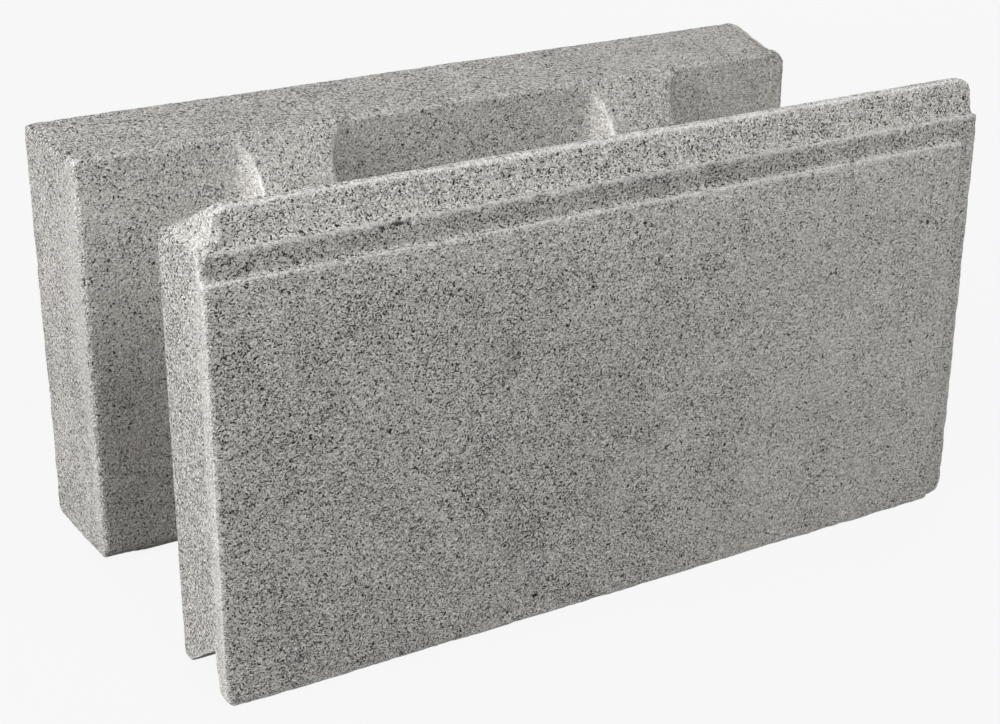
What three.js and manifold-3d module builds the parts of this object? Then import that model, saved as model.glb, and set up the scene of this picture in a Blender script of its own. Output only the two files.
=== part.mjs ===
// Interlocking shuttering block: two concrete face shells tied by two cross webs.
// Millimetres, +Z up, face of the block towards -Y, laid right way up on its bed.
import * as THREE from 'three';
import { mergeVertices } from 'three/addons/utils/BufferGeometryUtils.js';
import Module from 'manifold-3d';

// Overall body
const BLOCK_LENGTH = 495;
const BLOCK_DEPTH = 262;
const BODY_HEIGHT = 250;

// Front (face) shell
const FRONT_SHELL = 62;
const FACE_SETBACK = 4;
const SIDE_REBATE = 14;
const TOP_REBATE = 14;
const LEDGE = 5.5;

// Bed tongue on top of the front shell
const TONGUE_HEIGHT = 19.5;
const TONGUE_WALL_LEAN = 3;
const TONGUE_CREST = 6;
const TONGUE_BACK_LAND = 7;
const TONGUE_BACK_DROP = 3;
const TONGUE_END_INSET = 5;
const TONGUE_END_LEAN = 8;
const TONGUE_END_SKEW = 7;
const TONGUE_END_ROUND = 9;
const TONGUE_END_SETBACK = 1;
const TONGUE_ROOT = 8;

// Bed groove under the front shell
const GROOVE_LIP = 9;
const GROOVE_LEAN = 3;
const GROOVE_HEIGHT = 30;
const GROOVE_BACK_LAND = 7;

// Rear shell, its right end splayed in plan: short at the inner corner and long at the back
const REAR_SHELL = 82;
const REAR_END_SHORT = 5.5;
const REAR_END_LONG = 10;
const REAR_END_LAND = 10;
const REAR_END_CORNER = 3;
const REAR_BED_CORNER = 3;
const REAR_BED_EDGE = 9;

// Cross webs
const WEB_THICKNESS = 48;
const WEB_CENTRE = 119;
const WEB_FILLET = 14;
const FILLET_REACH = 1.5;
const WEB_ROOT = 6;

// Bar notch across the top of the webs
const NOTCH_DEPTH = 66;
const NOTCH_SIDE = 38;
const NOTCH_RADIUS = 22;

// Edge roundings
const ARRIS = 2;
const INNER_CORNER = 8;
const END_CORNER = 4;
const BED_CORNER = 8;
const STEP_CORNER = 0.5;
const ARC_STEPS = 6;

const OVERALL_LENGTH = BLOCK_LENGTH + REAR_END_LONG;
const LEFT = -OVERALL_LENGTH / 2;
const RIGHT = LEFT + BLOCK_LENGTH;
const MIDDLE = (LEFT + RIGHT) / 2;
const FACE = -BLOCK_DEPTH / 2;
const BACK = BLOCK_DEPTH / 2;
const FRONT_INNER = FACE + FRONT_SHELL;
const REAR_INNER = BACK - REAR_SHELL;
const CREST = BODY_HEIGHT + TONGUE_HEIGHT;
const BACK_LAND_TOP = BODY_HEIGHT - TONGUE_BACK_DROP;

const wasm = await Module();
wasm.setup();

// Outline with each corner [x, y, radius] turned into an arc
function roundedOutline(corners) {
  const points = [];
  corners.forEach(([x, y, radius], i) => {
    const here = new THREE.Vector2(x, y);
    const before = corners[(i + corners.length - 1) % corners.length];
    const after = corners[(i + 1) % corners.length];
    const inward = new THREE.Vector2(before[0], before[1]).sub(here).normalize();
    const outward = new THREE.Vector2(after[0], after[1]).sub(here).normalize();
    if (!radius) {
      points.push(here);
      return;
    }
    const half = Math.acos(THREE.MathUtils.clamp(inward.dot(outward), -1, 1)) / 2;
    const reach = radius / Math.tan(half);
    const start = here.clone().addScaledVector(inward, reach);
    const end = here.clone().addScaledVector(outward, reach);
    const centre = here.clone().addScaledVector(
      inward.clone().add(outward).normalize(),
      radius / Math.sin(half),
    );
    const from = start.clone().sub(centre).angle();
    let sweep = end.clone().sub(centre).angle() - from;
    if (sweep > Math.PI) sweep -= 2 * Math.PI;
    if (sweep < -Math.PI) sweep += 2 * Math.PI;
    for (let k = 0; k <= ARC_STEPS; k += 1) {
      const angle = from + (sweep * k) / ARC_STEPS;
      points.push(new THREE.Vector2(
        centre.x + radius * Math.cos(angle),
        centre.y + radius * Math.sin(angle),
      ));
    }
  });
  return points;
}

function solid(geometry) {
  geometry.deleteAttribute('normal');
  geometry.deleteAttribute('uv');
  const welded = mergeVertices(geometry, 1e-4);
  return new wasm.Manifold(new wasm.Mesh({
    numProp: 3,
    vertProperties: new Float32Array(welded.attributes.position.array),
    triVerts: new Uint32Array(welded.index.array),
  }));
}

function prism(corners, length) {
  const shape = new THREE.Shape(roundedOutline(corners));
  return new THREE.ExtrudeGeometry(shape, { depth: length, bevelEnabled: false });
}

// Plan outline (x, y) raised from the bed to the crest of the tongue
function planPrism(corners) {
  return solid(prism(corners, CREST));
}

// Cross-section (y, z) run along the length of the block
function sectionPrism(corners) {
  const geometry = prism(corners, OVERALL_LENGTH);
  geometry.applyMatrix4(new THREE.Matrix4().makeBasis(
    new THREE.Vector3(0, 1, 0),
    new THREE.Vector3(0, 0, 1),
    new THREE.Vector3(1, 0, 0),
  ));
  geometry.translate(LEFT, 0, 0);
  return solid(geometry);
}

// Elevation (x, z) run from the face to the back of the block
function elevationPrism(corners) {
  const geometry = prism(corners, BLOCK_DEPTH);
  geometry.applyMatrix4(new THREE.Matrix4().makeBasis(
    new THREE.Vector3(1, 0, 0),
    new THREE.Vector3(0, 0, 1),
    new THREE.Vector3(0, -1, 0),
  ));
  geometry.translate(0, BACK, 0);
  return solid(geometry);
}

// Shell below the tongue: its face lip, the step behind the lip and the bed groove
function frontShell() {
  const faceTop = BODY_HEIGHT - TOP_REBATE;
  const step = FACE + FACE_SETBACK;
  const wall = step + LEDGE;
  const backLand = FRONT_INNER - TONGUE_BACK_LAND;
  const grooveFront = FACE + GROOVE_LIP;
  const grooveBack = FRONT_INNER - GROOVE_BACK_LAND;
  const section = sectionPrism([
    [FACE, 0, ARRIS],
    [grooveFront, 0, ARRIS],
    [grooveFront + GROOVE_LEAN, GROOVE_HEIGHT, ARRIS],
    [grooveBack, 0, ARRIS],
    [FRONT_INNER, 0, ARRIS],
    [FRONT_INNER, BACK_LAND_TOP, ARRIS],
    [backLand, BACK_LAND_TOP, 0],
    [wall, BODY_HEIGHT, 0],
    [step, BODY_HEIGHT, ARRIS],
    [step, faceTop, STEP_CORNER],
    [FACE, faceTop, ARRIS],
  ]);
  const plan = planPrism([
    [LEFT, FACE, ARRIS],
    [RIGHT - SIDE_REBATE, FACE, ARRIS],
    [RIGHT - SIDE_REBATE, step, STEP_CORNER],
    [RIGHT, step, ARRIS],
    [RIGHT, FRONT_INNER, INNER_CORNER],
    [LEFT, FRONT_INNER, INNER_CORNER],
  ]);
  const elevation = elevationPrism([
    [LEFT, 0, BED_CORNER],
    [RIGHT, 0, BED_CORNER],
    [RIGHT, BODY_HEIGHT, END_CORNER],
    [LEFT, BODY_HEIGHT, END_CORNER],
  ]);
  return section.intersect(plan).intersect(elevation);
}

// Tongue on the front shell: steep towards the face, sloped down to the back land
function tongue() {
  const wall = FACE + FACE_SETBACK + LEDGE;
  const crestFront = wall + TONGUE_WALL_LEAN;
  const crestBack = crestFront + TONGUE_CREST;
  const backLand = FRONT_INNER - TONGUE_BACK_LAND;
  const root = BACK_LAND_TOP - TONGUE_ROOT;
  const leftEnd = LEFT + TONGUE_END_INSET;
  const rightEnd = RIGHT - TONGUE_END_SETBACK;
  const section = sectionPrism([
    [wall, root, 0],
    [backLand, root, 0],
    [backLand, BACK_LAND_TOP, 0],
    [crestBack, CREST, ARRIS],
    [crestFront, CREST, ARRIS],
    [wall, BODY_HEIGHT, 0],
  ]);
  const plan = planPrism([
    [leftEnd, wall, 0],
    [rightEnd, wall, 0],
    [rightEnd, backLand, 0],
    [leftEnd + TONGUE_END_SKEW, backLand, 0],
  ]);
  const elevation = elevationPrism([
    [leftEnd, root, 0],
    [rightEnd, root, 0],
    [rightEnd, CREST, TONGUE_END_ROUND],
    [leftEnd + TONGUE_END_LEAN, CREST, TONGUE_END_ROUND],
    [leftEnd, BACK_LAND_TOP, 0],
  ]);
  return section.intersect(plan).intersect(elevation);
}

function rearShell() {
  const section = sectionPrism([
    [REAR_INNER, 0, REAR_BED_EDGE],
    [BACK, 0, ARRIS],
    [BACK, BODY_HEIGHT, ARRIS],
    [REAR_INNER, BODY_HEIGHT, ARRIS],
  ]);
  const plan = planPrism([
    [LEFT, REAR_INNER, REAR_END_CORNER],
    [RIGHT - REAR_END_SHORT, REAR_INNER, REAR_END_CORNER],
    [RIGHT + REAR_END_LONG, BACK - REAR_END_LAND, 0],
    [RIGHT + REAR_END_LONG, BACK, ARRIS],
    [LEFT, BACK, ARRIS],
  ]);
  const elevation = elevationPrism([
    [LEFT, 0, REAR_BED_CORNER],
    [RIGHT + REAR_END_LONG, 0, 0],
    [RIGHT + REAR_END_LONG, BODY_HEIGHT, 0],
    [LEFT, BODY_HEIGHT, END_CORNER],
  ]);
  return section.intersect(plan).intersect(elevation);
}

// Waisted web between the shells, running a little way into each of them
function web(centre) {
  const half = WEB_THICKNESS / 2;
  const near = FRONT_INNER;
  const far = REAR_INNER;
  const flare = half + WEB_FILLET * FILLET_REACH;
  const plan = planPrism([
    [centre - flare, near - WEB_ROOT, 0],
    [centre + flare, near - WEB_ROOT, 0],
    [centre + flare, near, 0],
    [centre + half, near, WEB_FILLET],
    [centre + half, far, WEB_FILLET],
    [centre + flare, far, 0],
    [centre + flare, far + WEB_ROOT, 0],
    [centre - flare, far + WEB_ROOT, 0],
    [centre - flare, far, 0],
    [centre - half, far, WEB_FILLET],
    [centre - half, near, WEB_FILLET],
    [centre - flare, near, 0],
  ]);
  const top = BODY_HEIGHT - ARRIS;
  const section = sectionPrism([
    [near - WEB_ROOT, 0, 0],
    [far + WEB_ROOT, 0, 0],
    [far + WEB_ROOT, top, 0],
    [far, top, 0],
    [far - NOTCH_SIDE, BODY_HEIGHT - NOTCH_DEPTH, NOTCH_RADIUS],
    [near + NOTCH_SIDE, BODY_HEIGHT - NOTCH_DEPTH, NOTCH_RADIUS],
    [near, BACK_LAND_TOP - ARRIS, 0],
    [near - WEB_ROOT, BACK_LAND_TOP - ARRIS, 0],
  ]);
  return plan.intersect(section);
}

const body = frontShell()
  .add(tongue())
  .add(rearShell())
  .add(web(MIDDLE - WEB_CENTRE))
  .add(web(MIDDLE + WEB_CENTRE));

const mesh = body.getMesh();
const geometry = new THREE.BufferGeometry();
geometry.setAttribute('position', new THREE.BufferAttribute(new Float32Array(mesh.vertProperties), 3));
geometry.setIndex(new THREE.BufferAttribute(new Uint32Array(mesh.triVerts), 1));
const faceted = geometry.toNonIndexed();
faceted.computeVertexNormals();

const concrete = new THREE.MeshStandardMaterial({ color: 0x9d9b96, roughness: 0.95, metalness: 0 });
concrete.name = 'concrete';

const block = new THREE.Mesh(faceted, concrete);
block.name = 'block';

const part = new THREE.Group();
part.name = 'shuttering_block';
part.add(block);

export default part;
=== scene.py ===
import math

import bpy
import numpy as np
from mathutils import Matrix, Vector


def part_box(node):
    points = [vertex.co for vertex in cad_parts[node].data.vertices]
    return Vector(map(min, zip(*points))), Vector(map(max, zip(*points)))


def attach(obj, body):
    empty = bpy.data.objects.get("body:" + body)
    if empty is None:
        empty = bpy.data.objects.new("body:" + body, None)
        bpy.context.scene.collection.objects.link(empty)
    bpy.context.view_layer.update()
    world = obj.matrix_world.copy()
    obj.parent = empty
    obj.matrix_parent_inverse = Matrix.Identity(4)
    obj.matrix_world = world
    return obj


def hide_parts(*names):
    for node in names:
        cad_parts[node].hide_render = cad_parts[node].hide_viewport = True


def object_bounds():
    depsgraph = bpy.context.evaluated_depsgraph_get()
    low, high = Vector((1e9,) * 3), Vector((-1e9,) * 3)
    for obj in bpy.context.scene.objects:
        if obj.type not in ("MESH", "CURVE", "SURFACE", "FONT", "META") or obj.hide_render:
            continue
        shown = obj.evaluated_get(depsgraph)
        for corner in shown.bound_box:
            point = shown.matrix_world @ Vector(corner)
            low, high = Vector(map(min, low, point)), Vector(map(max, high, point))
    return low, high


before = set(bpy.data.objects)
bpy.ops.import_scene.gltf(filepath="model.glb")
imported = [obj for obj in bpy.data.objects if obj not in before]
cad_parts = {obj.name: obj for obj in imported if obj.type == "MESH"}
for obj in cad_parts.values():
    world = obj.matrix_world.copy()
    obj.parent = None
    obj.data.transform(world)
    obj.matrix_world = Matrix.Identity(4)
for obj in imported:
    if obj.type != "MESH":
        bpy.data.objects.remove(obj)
CAD_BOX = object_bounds()

MM = 0.001
SEED = 20
LOW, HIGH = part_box("block")

# Places are in millimetres from the block's corner at its face, left end and bed
TOP = 250
LIP_TOP = 236
FRONT_INNER = 62
REAR_INNER = 180
WEB_MIDDLES = (128.5, 366.5)
CORE_MIDDLE = 247.5

# How far back the lip's face, the step and the tongue's front wall reach
FACE_REACH = 2.5
STEP_REACH = 9
WALL_REACH = 30

# Least part of a normal along an axis: facing a side, leaning to it, nearly level
FACING = 0.6
LEANING = 0.5
LEVEL = 0.7

# Mesh of the cast surface
VOXEL = 1.4 * MM
WELD_REACH = 0.01 * MM
TRIANGLES = 190000
BOX_MARGIN = 0.05 * MM

# Surface relief: sizes and heights in millimetres
WAVE_SIZE, WAVE_HEIGHT = 70, 0.3
LUMP_SIZE, LUMP_HEIGHT = 7, 0.09
WEAR_COARSE, WEAR_FINE, WEAR_FINE_SHARE = 11, 3.2, 0.8
WEAR_SHARE, WEAR_BIAS = 0.5, 0.5
WEAR_ROUNDS, PAINTED_RIM_ROUNDS = 18, 4
ROUGH_SIZE, ROUGH_HEIGHT = 5, 0.5
PIT_COUNT = 170
PIT_RADIUS = (1.2, 2.6)
PIT_DEPTH = (0.5, 1.5)
PIT_EDGE = (1.1, 0.45)
PIT_RAGGED_SIZE, PIT_RAGGED = 1.7, 0.3
PIT_SHOWS = (0.5, 1.4)

# Strength of the painted highlight on arrises and the painted shade in hollow corners: depth
# for full strength, softer places, webs and the line of painted shade beside their left
# arrises
PAINTED_RIM_DEPTH = 0.5
PAINTED_RIM_SOFT = 0.5
PAINTED_RIM_WEB = 0.7
PAINTED_SHADE_WEB_LINE = -0.9

# Marks of this block: centre, radius and depth; a depth below 0 stands proud
MARKS = [
    ((108, 5, 247), 3.2, 2.6),
    ((114, 5, 247.5), 3.0, 2.4),
    ((98, 4.5, 246.5), 2.4, 1.6),
    ((103, 4.5, 248), 2.0, 1.2),
    ((21, 1, 237), 2.2, -1.2),
    ((25, 3.5, 239), 2.0, 1.4),
    ((117, 0.5, 236), 2.0, -0.8),
    ((76, 0.5, 236), 2.0, 1.2),
    ((54, 0, 226), 1.8, 1.2),
    ((175.5, 0, 152.5), 2.0, 1.6),
    ((171.5, 0, 151.8), 1.4, 1.1),
    ((168.0, 0, 151.6), 1.5, 1.2),
    ((164.8, 0, 156.5), 1.3, 1.0),
    ((164.6, 0, 161.5), 1.3, 0.9),
    ((176.5, 0, 159.5), 1.3, 0.9),
    ((188, 0, 13.5), 2.6, 1.8),
    ((193, 0, 11), 2.2, 1.2),
    ((0, 25, 223), 3.0, 1.6),
    ((0, 33, 219), 2.4, 1.4),
    ((1, 180, 179), 2.4, 1.6),
    ((1, 180, 166), 2.2, 1.4),
    ((105, 164, 235), 2.6, 1.8),
    ((154, 160, 236), 2.4, 1.6),
    ((290, 176, 249), 2.6, 1.4),
    ((2, 4, 250), 3.4, 1.4),
]

# Broken top edge at the right end of the rear shell: it starts on a line across the top
# and leaves a rounded nub at the inner corner
BREAK_LINE = ((482.4, 189.0), (504.6, 251.6))
BREAK_DROP = 5.5
BREAK_SLOPE = 1.5
BREAK_BLEND = 3
NUB_PLACE = (483.5, 186.0)
NUB_EDGE = (195.5, 190.5)
NUB_REACH = 8
NUB_ROUNDING = 0.14

# Worn bottom edge at the left end of the rear shell: height, share of roughness, and
# where it runs out
WORN_HEIGHT, WORN_ROUGH = 4.5, 0.4
WORN_INWARDS = (40, 6)
WORN_FRONT = (120, 150)
WORN_BACK = (240, 188)

# Foot of the tongue's left end, cast full: height at the end face and rise inwards,
# fall towards the front, reach and share of roughness, and the tongue's long slope that
# it stays under
FOOT_HEIGHT = 248.8
FOOT_SLOPE = 1.0
FOOT_FRONT, FOOT_FALL = 12, 2.5
FOOT_REACH, FOOT_DEPTH, FOOT_ROUGH = 16, 5, 0.6
LAND_EDGE, LAND_HEIGHT, LAND_SLOPE = 55, 247, 0.61

# Brownish traces: their line lies before the broken edge; one surrounds a stone
STAIN_BEFORE_BREAK = 3.5
STONE_PLACE = (170.5, 0, 158)

# Scatter of the texture: gain and size by property
OPEN_SCATTER, OPEN_SCATTER_SIZE = 0.24, 16
COARSE_SCATTER, COARSE_SCATTER_SIZE = 0.15, 30
TONE_SCATTER, TONE_SCATTER_SIZE = 0.03, 30

# Sizes in the concrete's texture
STONE_SIZE = 5.5 * MM
BEND_SIZE, BEND_REACH = 4 * MM, 5 * MM
GRAIN_SIZE = 0.8 * MM
SPOT_SIZE = 1.2 * MM
GAP_SIZE = 0.8 * MM
HOLE_SIZE = 2.2 * MM
CLOUD_SIZE = 45 * MM
STREAK_SIZE = 2.6 * MM
BUMP_HEIGHT = 1.6 * MM

# Pores: limit at no and at full openness, and what a stone's border adds to it
SPOT_LIMIT, SPOT_BORDER = (-0.15, 0.8), 0.2
GAP_LIMIT, GAP_BORDER = (0.2, 0.36), 0.05
HOLE_LIMIT, HOLE_BORDER = (0.2, 0.38), 0.04
HOLE_IN_PIT = 0.24
SPOT_RADIUS = (0.2, 0.5)

# Greys of the concrete: level and warmth
PASTE_DARK, PASTE_PALE = (0.50, 0.03), (0.56, 0.04)
GRAIN_PALE, GRAIN_DARK = (0.95, 0.02), (0.12, 0.025)
# Painted highlight on arrises and painted shade in hollow corners
ARRIS_HIGHLIGHT_GREY, HOLLOW_SHADE_GREY = (0.8, 0.01), (0.2, 0.025)
# Near black: painted shade inside the pores
PORE_SHADE_GREY = (0.015, 0.05)
STAIN_COLOUR = (0.20, 0.135, 0.105, 1)
WHITE = (1, 1, 1, 1)

# Camera, from the same corner
CAMERA_PLACE = Vector((-321.8, -814.3, 567.0)) * MM
CAMERA_AZIMUTH = -30.83
CAMERA_ELEVATION = 23.11
CAMERA_ROLL = 0.29
LENS = 70.5
SENSOR_WIDTH = 36

# Soft boxes: direction from the block, power and size
LIGHT_DISTANCE = 2.6
LIGHTS = {
    "left_light": (Vector((-0.94, -0.02, 0.35)), 72, 1.2),
    "front_light": (Vector((0.05, -0.81, 0.58)), 36, 1.3),
    "top_light": (Vector((-0.05, -0.05, 1.00)), 9, 1.4),
    "back_light": (Vector((0.62, 0.66, 0.42)), 28, 1.4),
}
WORLD_STRENGTH = 0.16
FLOOR_HALF = 8.0
FLOOR_COLOUR = 0.3
FLOOR_GLOW = 0.9


def smoothstep(start, end, value):
    share = np.clip((value - start) / (end - start), 0, 1)
    return share * share * (3 - 2 * share)


def lattice_noise(points, size, seed):
    """Smooth noise from -1 to 1 on random values at the corners of a cubic lattice.

    The large numbers only mix the bits of a corner's place and the seed.
    """
    scaled = points / size
    cell = np.floor(scaled).astype(np.int64)
    part = scaled - cell
    part = part * part * (3 - 2 * part)
    total = np.zeros(len(points))
    for corner in range(8):
        step = np.array([corner & 1, corner >> 1 & 1, corner >> 2 & 1])
        key = (cell + step) @ np.array([73856093, 19349663, 83492791]) + seed * 2654435761
        key = (key ^ (key >> 13)) * 1274126177 & 0xFFFFFFFF
        key = (key ^ (key >> 16)) * 2246822519 & 0xFFFFFFFF
        value = (key & 0xFFFF) / 32767.5 - 1
        total += value * np.prod(np.where(step, part, 1 - part), axis=1)
    return total


def octaves(points, size, seed):
    """Two layers of lattice noise, the finer one weaker."""
    coarse = lattice_noise(points, size, seed)
    fine = lattice_noise(points, size / 2, seed + 1)
    return (coarse + fine / 1.8) / 1.3


def remeshed_copy(node, name):
    """An evenly meshed copy of a CAD node."""
    piece = bpy.data.objects.new(name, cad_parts[node].data.copy())
    bpy.context.scene.collection.objects.link(piece)
    weld = piece.modifiers.new("weld", "WELD")
    weld.merge_threshold = WELD_REACH
    remesh = piece.modifiers.new("remesh", "REMESH")
    remesh.mode = "VOXEL"
    remesh.voxel_size = VOXEL
    apply_modifiers(piece)
    return piece


def apply_modifiers(piece):
    graph = bpy.context.evaluated_depsgraph_get()
    graph.update()
    mesh = bpy.data.meshes.new_from_object(piece.evaluated_get(graph))
    piece.modifiers.clear()
    piece.data = mesh


def read_vectors(collection, field):
    values = np.zeros(len(collection) * 3, np.float32)
    collection.foreach_get(field, values)
    return values.reshape(-1, 3).astype(float)


def read_edges(mesh):
    ends = np.zeros(len(mesh.edges) * 2, np.int32)
    mesh.edges.foreach_get("vertices", ends)
    return ends.reshape(-1, 2)


def smoothed(points, edges, rounds):
    """Each point averaged with its neighbours, a number of times."""
    count = len(points)
    ends = edges.ravel()
    others = edges[:, ::-1].ravel()
    degree = np.bincount(ends, minlength=count)[:, None]
    for _ in range(rounds):
        sums = [np.bincount(ends, points[others, axis], count) for axis in range(3)]
        points = (points + np.stack(sums, axis=1) / degree) / 2
    return points


def convexity(points, normals, edges, rounds):
    """How far a smoothed copy of the surface lies inside it: above 0 on arrises."""
    return ((points - smoothed(points, edges, rounds)) * normals).sum(axis=1)


def pits(points):
    """Depth below the surface of seeded pits and of the marks of this block."""
    random = np.random.default_rng(SEED)
    centres = points[random.integers(0, len(points), PIT_COUNT)]
    radii = random.uniform(*PIT_RADIUS, PIT_COUNT)
    depths = random.uniform(*PIT_DEPTH, PIT_COUNT)
    total = np.zeros(len(points))
    for centre, radius, depth in list(zip(centres, radii, depths)) + MARKS:
        near = np.abs(points - np.array(centre)).max(axis=1) < radius * 1.5
        some = points[near]
        away = np.linalg.norm(some - np.array(centre), axis=1) / radius
        away += PIT_RAGGED * lattice_noise(some, PIT_RAGGED_SIZE, SEED + 9)
        total[near] += depth * smoothstep(*PIT_EDGE, away)
    return total


def break_distance(points):
    """Horizontal distance beyond the line where the broken edge starts."""
    (x0, y0), (x1, y1) = BREAK_LINE
    length = math.hypot(x1 - x0, y1 - y0)
    along = np.array([(x1 - x0) / length, (y1 - y0) / length])
    return (points[:, 0] - x0) * along[1] - (points[:, 1] - y0) * along[0]


def broken_edge(points, z, rough):
    """Height of the rear shell's top, lowered beyond the line down to the nub."""
    x, y = points[:, :2].T
    beyond = break_distance(points)
    loss = np.clip(BREAK_SLOPE * beyond, 0, BREAK_DROP)
    loss = loss - rough * smoothstep(0, BREAK_BLEND, beyond)
    nub = smoothstep(*NUB_EDGE, y)
    away = np.clip(np.hypot(x - NUB_PLACE[0], y - NUB_PLACE[1]), 0, NUB_REACH)
    loss = loss * (1 - nub) + nub * NUB_ROUNDING * away**2
    return np.where((beyond > 0) & (y > REAR_INNER - 4), np.minimum(z, TOP - loss), z)


def worn_bottom(points, z, rough):
    """Height of the rear shell's bed, raised at the left end."""
    x, y = points[:, :2].T
    lift = smoothstep(*WORN_BACK, y) * smoothstep(*WORN_INWARDS, x)
    lift = WORN_HEIGHT * lift * smoothstep(*WORN_FRONT, y) + WORN_ROUGH * rough
    return np.where((y > WORN_FRONT[0]) & (x < WORN_INWARDS[0]), np.maximum(z, lift), z)


def full_foot(points, z, rough):
    """Height of the ledge at the tongue's left end, filled up to a slope."""
    x, y = points[:, :2].T
    foot = FOOT_HEIGHT + FOOT_SLOPE * x - FOOT_FALL * np.clip(FOOT_FRONT - y, 0, None)
    slope = LAND_HEIGHT + LAND_SLOPE * (LAND_EDGE - y)
    foot = np.minimum(foot, slope) + FOOT_ROUGH * rough
    near = (y > STEP_REACH) & (y < LAND_EDGE) & (x < FOOT_REACH) & (z > TOP - FOOT_DEPTH)
    return np.where(near, np.maximum(z, foot), z)


def wear(points):
    """The surface with its broken and worn edges and the full foot."""
    x, y, z = points.T
    rough = ROUGH_HEIGHT * octaves(points, ROUGH_SIZE, SEED + 11)
    for change in (broken_edge, worn_bottom, full_foot):
        z = change(points, z, rough)
    return np.stack([x, y, z], axis=1)


def tongue_end(points):
    """The leaning left end of the tongue with its foot."""
    x, y, z = points.T
    return (x < 14) & (y > 11) & (y < FRONT_INNER) & (z > TOP - 2)


def on_web(y):
    return (y > FRONT_INNER + 4) & (y < REAR_INNER - 2)


def find_zones(points, normals):
    """Masks of the block's zones, by place and by the side that the surface faces."""
    y, z = points[:, 1:].T
    front = normals[:, 1] < -FACING
    up = normals[:, 2] > FACING
    left = normals[:, 0] < -FACING
    behind = y > FRONT_INNER + 2
    end = (normals[:, 0] < -LEANING) | tongue_end(points)
    return {
        "face": front & (y < FACE_REACH),
        "step": front & (y > FACE_REACH) & (y < STEP_REACH) & (z > LIP_TOP) & (z < TOP),
        "step_and_wall": front & (y > FACE_REACH) & (y < WALL_REACH) & (z > LIP_TOP),
        "tongue": (z > TOP) & (y < FRONT_INNER),
        "tongue_end": tongue_end(points),
        "upper_side": up & (z > LIP_TOP),
        "web_top": up & (y > FRONT_INNER) & (y < REAR_INNER),
        "web_flank": left & on_web(y),
        "rear_inner": front & (y > REAR_INNER - 3),
        "rear_top": up & (y > REAR_INNER),
        "rear_upper": (y > REAR_INNER - 1) & (z > TOP - 6) & ~front,
        "inner_faces": behind & front,
        "other_inner": behind & ~front,
        "rear_left": left & (y > FRONT_INNER),
        "front_left": left & (y <= FRONT_INNER),
        "rear_end": end & (y > REAR_INNER - 6),
        "front_end": end & (y <= REAR_INNER - 6),
    }


def by_zone(zones, plain, levels):
    """Level of the last listed zone that each point lies in, or the plain level."""
    value = np.full(len(zones["face"]), plain)
    for name, level in levels.items():
        value = np.where(zones[name], level, value)
    return value


def rim_highlight_and_shade(points, normals, edges):
    """Painted highlight on arrises above 0, painted shade in hollow corners below 0; beside
    the webs' left arrises a line of painted shade.
    """
    x, y = points[:, :2].T
    value = np.clip(convexity(points, normals, edges, PAINTED_RIM_ROUNDS) / PAINTED_RIM_DEPTH, -1, 1)
    share = 0.9 + 0.2 * lattice_noise(points, 6, SEED + 71)
    share *= np.where(tongue_end(points) | (y > REAR_INNER - 5), PAINTED_RIM_SOFT, 1.0)
    # On the webs: a painted highlight on the arrises, and on the web tops beside the left
    # arrises a line of painted shade
    left_half = (x < WEB_MIDDLES[0]) | (x > CORE_MIDDLE) & (x < WEB_MIDDLES[1])
    line = np.where(left_half & (normals[:, 2] > LEVEL), PAINTED_SHADE_WEB_LINE, PAINTED_RIM_WEB)
    web = (y > FRONT_INNER + 3) & (y < REAR_INNER - 2)
    return value * np.where(web, line, share)


def openness(points, zones, strip):
    """How open the texture is, from 0 for a closed skin to 1 for loose grains."""
    x, _, z = points.T
    value = by_zone(zones, 0.5, {
        "face": 0.8 - 0.42 * smoothstep(190, 440, x) - 0.18 * smoothstep(195, LIP_TOP, z),
        "step_and_wall": 0.72,
        "rear_inner": 0.52 - 0.32 * smoothstep(380, 440, x),
        "rear_top": 0.95 - 0.15 * smoothstep(100, 480, x),
        "web_top": 0.12,
        "rear_left": 0.85,
        "front_left": 1.05,
        "web_flank": 0.15,
        "tongue_end": 0.4,
    })
    value = value + OPEN_SCATTER * octaves(points, OPEN_SCATTER_SIZE, SEED + 21)
    return np.clip(value * (1 - 0.85 * strip), 0, 1)


def coarseness(points, zones, strip):
    """Share of large pores: most on struck tops, least on moulded faces."""
    x, _, z = points.T
    value = by_zone(zones, 0.2, {
        "face": 0.42 - 0.2 * smoothstep(190, 440, x) - 0.1 * smoothstep(195, LIP_TOP, z),
        "step_and_wall": 0.55,
        "upper_side": 1.0 - 0.25 * smoothstep(250, 480, x),
        "web_top": 0.35,
        "tongue_end": 0.2,
    })
    value = np.where(strip > 0.5, 0, value)
    value = value + COARSE_SCATTER * octaves(points, COARSE_SCATTER_SIZE, SEED + 51)
    return np.clip(value, 0, 1)


def paleness_and_painted_light(points, normals, zones, strip):
    """Tone of each zone against that of the moulded face, with painted light and shade: the
    face lighter towards its top, the inner faces darker right of the left cell and towards the
    bottom between the shells, and the webs' left flanks lighter.
    """
    x, y, z = points.T
    value = by_zone(zones, 1.0, {
        # Painted light: the face lighter towards its top
        "face": 1.0 + 0.06 * smoothstep(185, 230, z),
        "step": 0.89 + 0.1 * smoothstep(250, 450, x),
        "tongue": 1.19,
        # Painted shade: the inner faces darker right of the left cell and towards the bottom
        # between the shells
        "inner_faces": 1.04 - 0.05 * smoothstep(100, 180, x) - 0.14 * smoothstep(180, 60, z),
        "other_inner": 0.79,
        "rear_upper": 1.09 - 0.1 * smoothstep(200, 480, x),
        "rear_end": 0.97,
        "front_end": 1.04,
    })
    # Painted light: the webs' left flanks, facing the left lamp, lighter
    value = value + 0.2 * smoothstep(0.15, FACING, -normals[:, 0]) * on_web(y)
    value = value - 0.03 * strip
    return value + TONE_SCATTER * octaves(points, TONE_SCATTER_SIZE, SEED + 31)


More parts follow.
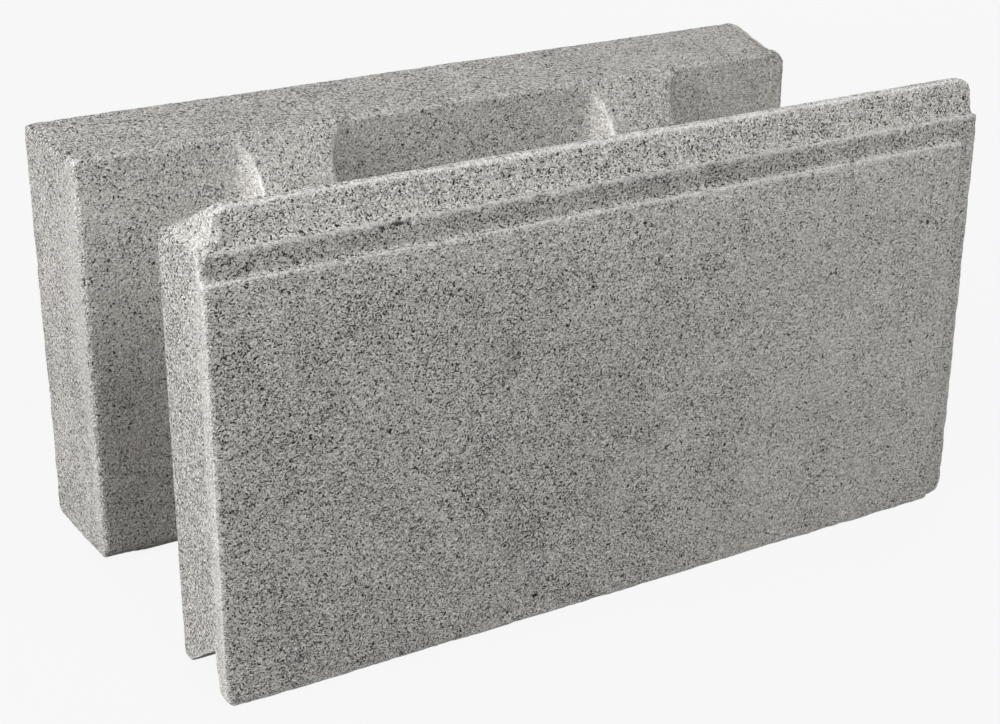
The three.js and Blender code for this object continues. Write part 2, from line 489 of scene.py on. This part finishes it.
def smooth_strip(points, normals):
    """Dense skin on the left ends, beside the face and beside the cell."""
    y = points[:, 1]
    wander = 1.2 * octaves(points, 12, SEED + 61)
    lip = smoothstep(10.5, 7.5, y + wander)
    inner = smoothstep(193, 188, y + wander) * (y > REAR_INNER - 6)
    cell = smoothstep(56, 59, y + 0.5 * wander) * (y < FRONT_INNER + 4)
    strip = np.maximum.reduce([lip, inner, cell])
    return np.where(normals[:, 0] < -LEANING, strip, 0)


def stains(points):
    """Brownish traces: along the broken edge, round a stone of the face, in faint clouds."""
    beyond = break_distance(points) + STAIN_BEFORE_BREAK
    line = smoothstep(1.6, 0.4, np.abs(beyond)) * smoothstep(222, 212, points[:, 1])
    line = np.where((points[:, 2] > TOP - 8) & (points[:, 1] > REAR_INNER - 2), line, 0)
    stone = np.linalg.norm(points - np.array(STONE_PLACE), axis=1)
    patch = 0.5 * smoothstep(6.5, 4.5, stone)
    cloud = 0.12 * smoothstep(0.45, 0.9, octaves(points, 35, SEED + 41))
    return np.maximum.reduce([line, patch, cloud])


def streaks(points, normals):
    """Vertical drag marks of the mould, on the face's right end and in the outer cells."""
    x, y, z = points.T
    rear = y > REAR_INNER - 3
    face = smoothstep(380, 470, x) * smoothstep(150, 225, z) * (y < 6)
    right_cell = smoothstep(385, 400, x) * rear
    left_cell = 0.5 * smoothstep(100, 60, x) * smoothstep(170, 210, z) * rear
    strongest = np.maximum.reduce([face, right_cell, left_cell])
    return np.where(normals[:, 1] < -FACING, strongest, 0)


def store(mesh, name, values):
    attribute = mesh.attributes.new(name, "FLOAT", "POINT")
    attribute.data.foreach_set("value", values.astype(np.float32))


def reduce_triangles(piece):
    faces = sum(len(polygon.vertices) - 2 for polygon in piece.data.polygons)
    decimate = piece.modifiers.new("decimate", "DECIMATE")
    decimate.ratio = TRIANGLES / faces
    decimate.use_collapse_triangulate = True
    apply_modifiers(piece)
    count = len(piece.data.polygons)
    piece.data.polygons.foreach_set("use_smooth", [True] * count)
    print("cast surface: triangles", faces, "reduced to", count)


def cast_surface():
    """The CAD block as a casting: worn, ragged and pitted, with its texture's attributes."""
    piece = remeshed_copy("block", "concrete_block")
    mesh = piece.data
    corner = np.array([LOW.x, LOW.y, 0.0])
    points = (read_vectors(mesh.vertices, "co") - corner) / MM
    normals = read_vectors(mesh.vertex_normals, "vector")
    edges = read_edges(mesh)

    worn = wear(points)
    arris = np.clip(convexity(worn, normals, edges, WEAR_ROUNDS), 0, None)
    ragged = octaves(points, WEAR_COARSE, SEED + 5)
    ragged += WEAR_FINE_SHARE * octaves(points, WEAR_FINE, SEED + 7)
    depth = pits(points)
    height = WAVE_HEIGHT * octaves(points, WAVE_SIZE, SEED + 1)
    height += LUMP_HEIGHT * octaves(points, LUMP_SIZE, SEED + 3)
    height -= WEAR_SHARE * arris * np.clip(WEAR_BIAS + ragged, 0, None)
    height -= depth
    moved = (worn + normals * height[:, None]) * MM + corner
    low, high = np.array(CAD_BOX[0]) + BOX_MARGIN, np.array(CAD_BOX[1]) - BOX_MARGIN
    mesh.vertices.foreach_set("co", np.clip(moved, low, high).astype(np.float32).ravel())

    zones = find_zones(points, normals)
    strip = smooth_strip(points, normals)
    store(mesh, "rim_highlight_and_shade", rim_highlight_and_shade(worn, normals, edges))
    store(mesh, "pit", smoothstep(*PIT_SHOWS, depth))
    store(mesh, "open_grain", openness(points, zones, strip))
    store(mesh, "coarse", coarseness(points, zones, strip))
    store(mesh, "tone_and_painted_light", paleness_and_painted_light(points, normals, zones, strip))
    store(mesh, "stain", stains(points))
    store(mesh, "streak", streaks(points, normals))
    mesh.update()
    reduce_triangles(piece)
    return piece


class Nodes:
    """Short calls for building a shader."""

    def __init__(self, owner):
        owner.use_nodes = True
        self.tree = owner.node_tree
        self.tree.nodes.clear()

    def add(self, kind, inputs=(), **settings):
        node = self.tree.nodes.new(kind)
        for name, value in settings.items():
            setattr(node, name, value)
        for key, value in dict(inputs).items():
            self.put(node.inputs[key], value)
        return node

    def put(self, socket, value):
        if isinstance(value, bpy.types.NodeSocket):
            self.tree.links.new(value, socket)
        else:
            socket.default_value = value

    def noise(self, place, size, detail=2.0, roughness=0.5, output="Fac"):
        inputs = {"Vector": place, "Scale": 1 / size, "Detail": detail, "Roughness": roughness}
        return self.add("ShaderNodeTexNoise", inputs).outputs[output]

    def cells(self, place, size, feature="F1"):
        inputs = {"Vector": place, "Scale": 1 / size}
        return self.add("ShaderNodeTexVoronoi", inputs, feature=feature).outputs

    def chances(self, cells):
        """Three random numbers for each cell."""
        return self.add("ShaderNodeSeparateColor", {"Color": cells["Color"]}).outputs

    def span(self, value, low, high, to_low=0.0, to_high=1.0):
        inputs = {"Value": value, "From Min": low, "From Max": high}
        inputs.update({"To Min": to_low, "To Max": to_high})
        return self.add("ShaderNodeMapRange", inputs).outputs["Result"]

    def math(self, operation, a, b=0.0):
        return self.add("ShaderNodeMath", {0: a, 1: b}, operation=operation).outputs["Value"]

    def total(self, first, *parts):
        """A value plus further values, each with its share."""
        for value, share in parts:
            first = self.math("ADD", first, self.math("MULTIPLY", value, share))
        return first

    def below(self, limit, value, edge):
        """1 where a value lies below a limit, with a soft edge."""
        return self.span(self.math("SUBTRACT", limit, value), 0.0, edge)

    def vector(self, operation, *operands):
        node = self.add("ShaderNodeVectorMath", enumerate(operands), operation=operation)
        return node.outputs["Vector"]

    def attribute(self, name):
        return self.add("ShaderNodeAttribute", attribute_name=name).outputs["Fac"]

    def seen(self):
        """1 for rays that show the background: straight, by gloss or through glass."""
        path = self.add("ShaderNodeLightPath").outputs
        rays = self.math("MAXIMUM", path["Is Camera Ray"], path["Is Glossy Ray"])
        return self.math("MAXIMUM", rays, path["Is Transmission Ray"])

    def mix(self, share, a, b, blend="MIX"):
        node = self.add("ShaderNodeMix", data_type="RGBA", blend_type=blend)
        self.put(node.inputs[0], share)
        self.put(node.inputs[6], a)
        self.put(node.inputs[7], b)
        return node.outputs[2]


def grey(level, warmth=0.025):
    return (level * (1 + warmth), level, level * (1 - 1.7 * warmth), 1)


def open_pores(n, bent, border, rim_highlight_and_shade, fine, large):
    """Single spots, ragged gaps and larger holes, fewer on the arrises."""
    open_grain = n.attribute("open_grain")
    openings = n.cells(bent, SPOT_SIZE)
    chance = n.chances(openings)
    limit = n.total(n.span(open_grain, 0.0, 1.0, *SPOT_LIMIT), (border, SPOT_BORDER))
    radius = n.span(chance["Green"], 0.0, 1.0, *SPOT_RADIUS)
    spot = n.span(n.math("SUBTRACT", radius, openings["Distance"]), -0.05, 0.07)
    spot = n.math("MULTIPLY", spot, n.below(limit, chance["Red"], 0.05))
    limit = n.total(n.span(open_grain, 0.0, 1.0, *GAP_LIMIT), (border, GAP_BORDER))
    gap = n.below(limit, fine, 0.05)
    limit = n.span(n.attribute("coarse"), 0.0, 1.0, *HOLE_LIMIT)
    limit = n.total(limit, (border, HOLE_BORDER), (n.attribute("pit"), HOLE_IN_PIT))
    hole = n.below(limit, large, 0.03)
    pore = n.math("MAXIMUM", n.math("MAXIMUM", spot, gap), hole)
    return n.math("MULTIPLY", pore, n.span(rim_highlight_and_shade, 0.1, 0.5, 1.0, 0.25))


def surface_tone(n, place, rim_highlight_and_shade, grain, pore):
    """Paste with pale and dark grains, a painted highlight on arrises, painted shade in hollow
    corners and beside the webs' left arrises, streaks, stains, and pores filled with
    near-black painted shade.
    """
    cloud = n.span(n.noise(place, CLOUD_SIZE), 0.3, 0.7)
    tone_and_painted_light = n.mix(cloud, grey(*PASTE_DARK), grey(*PASTE_PALE))
    tone_and_painted_light = n.mix(n.span(grain, 0.5, 1.0, 0.0, 0.75), tone_and_painted_light, grey(*GRAIN_PALE))
    tone_and_painted_light = n.mix(n.span(grain, 0.3, 0.0, 0.0, 0.65), tone_and_painted_light, grey(*GRAIN_DARK))
    # Painted highlight on arrises; painted shade in hollow corners and beside the webs' left
    # arrises
    tone_and_painted_light = n.mix(n.span(rim_highlight_and_shade, 0.12, 0.5, 0.0, 0.65), tone_and_painted_light, grey(*ARRIS_HIGHLIGHT_GREY))
    tone_and_painted_light = n.mix(n.span(rim_highlight_and_shade, -0.1, -0.6, 0.0, 0.35), tone_and_painted_light, grey(*HOLLOW_SHADE_GREY))
    drawn_out = n.vector("MULTIPLY", place, (1, 1, 0.05))
    streak = n.span(n.noise(drawn_out, STREAK_SIZE), 0.35, 0.65, -0.07, 0.07)
    streak = n.math("MULTIPLY", streak, n.attribute("streak"))
    level = n.math("ADD", n.attribute("tone_and_painted_light"), streak)
    level = n.add("ShaderNodeCombineColor", {"Red": level, "Green": level, "Blue": level})
    tone_and_painted_light = n.mix(1.0, tone_and_painted_light, level.outputs["Color"], "MULTIPLY")
    tone_and_painted_light = n.mix(n.math("MULTIPLY", n.attribute("stain"), 0.6), tone_and_painted_light, STAIN_COLOUR)
    # The pores are filled with near-black painted shade
    return n.mix(n.math("MULTIPLY", pore, 0.96), tone_and_painted_light, grey(*PORE_SHADE_GREY))


def concrete():
    material = bpy.data.materials.new("concrete")
    n = Nodes(material)
    place = n.add("ShaderNodeTexCoord").outputs["Object"]
    rim_highlight_and_shade = n.attribute("rim_highlight_and_shade")

    # Stones of the aggregate, with gaps in chains along their borders
    bend = n.noise(place, BEND_SIZE, 1.0, output="Color")
    bend = n.vector("SUBTRACT", bend, (0.5, 0.5, 0.5))
    bent = n.vector("MULTIPLY_ADD", bend, (BEND_REACH, BEND_REACH, BEND_REACH), place)
    border = n.cells(bent, STONE_SIZE, "DISTANCE_TO_EDGE")["Distance"]
    border = n.span(border, 0.16, 0.02)
    fine = n.noise(place, GAP_SIZE, 1.0)
    large = n.noise(place, HOLE_SIZE, 2.0, 0.55)
    grains = n.cells(place, GRAIN_SIZE)
    pore = open_pores(n, bent, border, rim_highlight_and_shade, fine, large)
    tone_and_painted_light = surface_tone(n, place, rim_highlight_and_shade, n.chances(grains)["Red"], pore)

    relief = [(large, 0.6), (grains["Distance"], -0.3), (pore, -0.5), (border, -0.08)]
    bump = n.add("ShaderNodeBump", {"Height": n.total(fine, *relief)})
    bump.inputs["Strength"].default_value = 1.0
    bump.inputs["Distance"].default_value = BUMP_HEIGHT
    surface = {"Base Color": tone_and_painted_light, "Normal": bump.outputs["Normal"]}
    shader = n.add("ShaderNodeBsdfPrincipled", surface)
    shader.inputs["Roughness"].default_value = 0.95
    shader.inputs["Specular IOR Level"].default_value = 0.2
    n.add("ShaderNodeOutputMaterial", {"Surface": shader.outputs["BSDF"]})
    return material


def pale_floor():
    """A pale floor that the camera sees nearly white, with the block's shadow."""
    half = FLOOR_HALF
    mesh = bpy.data.meshes.new("floor")
    corners = [(-half, -half, 0), (half, -half, 0), (half, half, 0), (-half, half, 0)]
    mesh.from_pydata(corners, [], [(0, 1, 2, 3)])
    floor = bpy.data.objects.new("floor", mesh)
    bpy.context.scene.collection.objects.link(floor)
    material = bpy.data.materials.new("pale_floor")
    n = Nodes(material)
    paint = n.add("ShaderNodeBsdfDiffuse", {"Color": grey(FLOOR_COLOUR, 0.0)}).outputs[0]
    glow = n.add("ShaderNodeEmission", {"Color": WHITE, "Strength": 1.0}).outputs[0]
    share = n.math("MULTIPLY", n.seen(), FLOOR_GLOW)
    mixed = n.add("ShaderNodeMixShader", {0: share, 1: paint, 2: glow})
    n.add("ShaderNodeOutputMaterial", {"Surface": mixed.outputs[0]})
    mesh.materials.append(material)


def soft_box(name, direction, power, size):
    light = bpy.data.lights.new(name, "AREA")
    light.energy = power
    light.size = size
    lamp = bpy.data.objects.new(name, light)
    bpy.context.scene.collection.objects.link(lamp)
    lamp.location = (LOW + HIGH) / 2 + direction * LIGHT_DISTANCE
    lamp.rotation_euler = (-direction).to_track_quat("-Z", "Y").to_euler()


def studio_light():
    """Soft boxes in a dim world that shows as white."""
    world = bpy.data.worlds.new("studio")
    bpy.context.scene.world = world
    n = Nodes(world)
    light = n.add("ShaderNodeBackground", {"Color": WHITE, "Strength": WORLD_STRENGTH})
    white = n.add("ShaderNodeBackground", {"Color": WHITE, "Strength": 1.0})
    inputs = {0: n.seen(), 1: light.outputs[0], 2: white.outputs[0]}
    mixed = n.add("ShaderNodeMixShader", inputs)
    n.add("ShaderNodeOutputWorld", {"Surface": mixed.outputs[0]})
    for name, settings in LIGHTS.items():
        soft_box(name, *settings)


def camera():
    data = bpy.data.cameras.new("camera")
    data.lens = LENS
    data.sensor_width = SENSOR_WIDTH
    eye = bpy.data.objects.new("camera", data)
    bpy.context.scene.collection.objects.link(eye)
    corner = Vector((LOW.x, LOW.y, 0))
    turn = Matrix.Rotation(math.radians(CAMERA_AZIMUTH), 4, "Z")
    tilt = Matrix.Rotation(math.radians(90 - CAMERA_ELEVATION), 4, "X")
    roll = Matrix.Rotation(math.radians(CAMERA_ROLL), 4, "Z")
    eye.matrix_world = Matrix.Translation(corner + CAMERA_PLACE) @ turn @ tilt @ roll
    bpy.context.scene.camera = eye


camera()
studio_light()
pale_floor()

block = cast_surface()
block.data.materials.clear()
block.data.materials.append(concrete())
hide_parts("block")
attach(block, "root")

bpy.context.scene.view_settings.view_transform = "Standard"
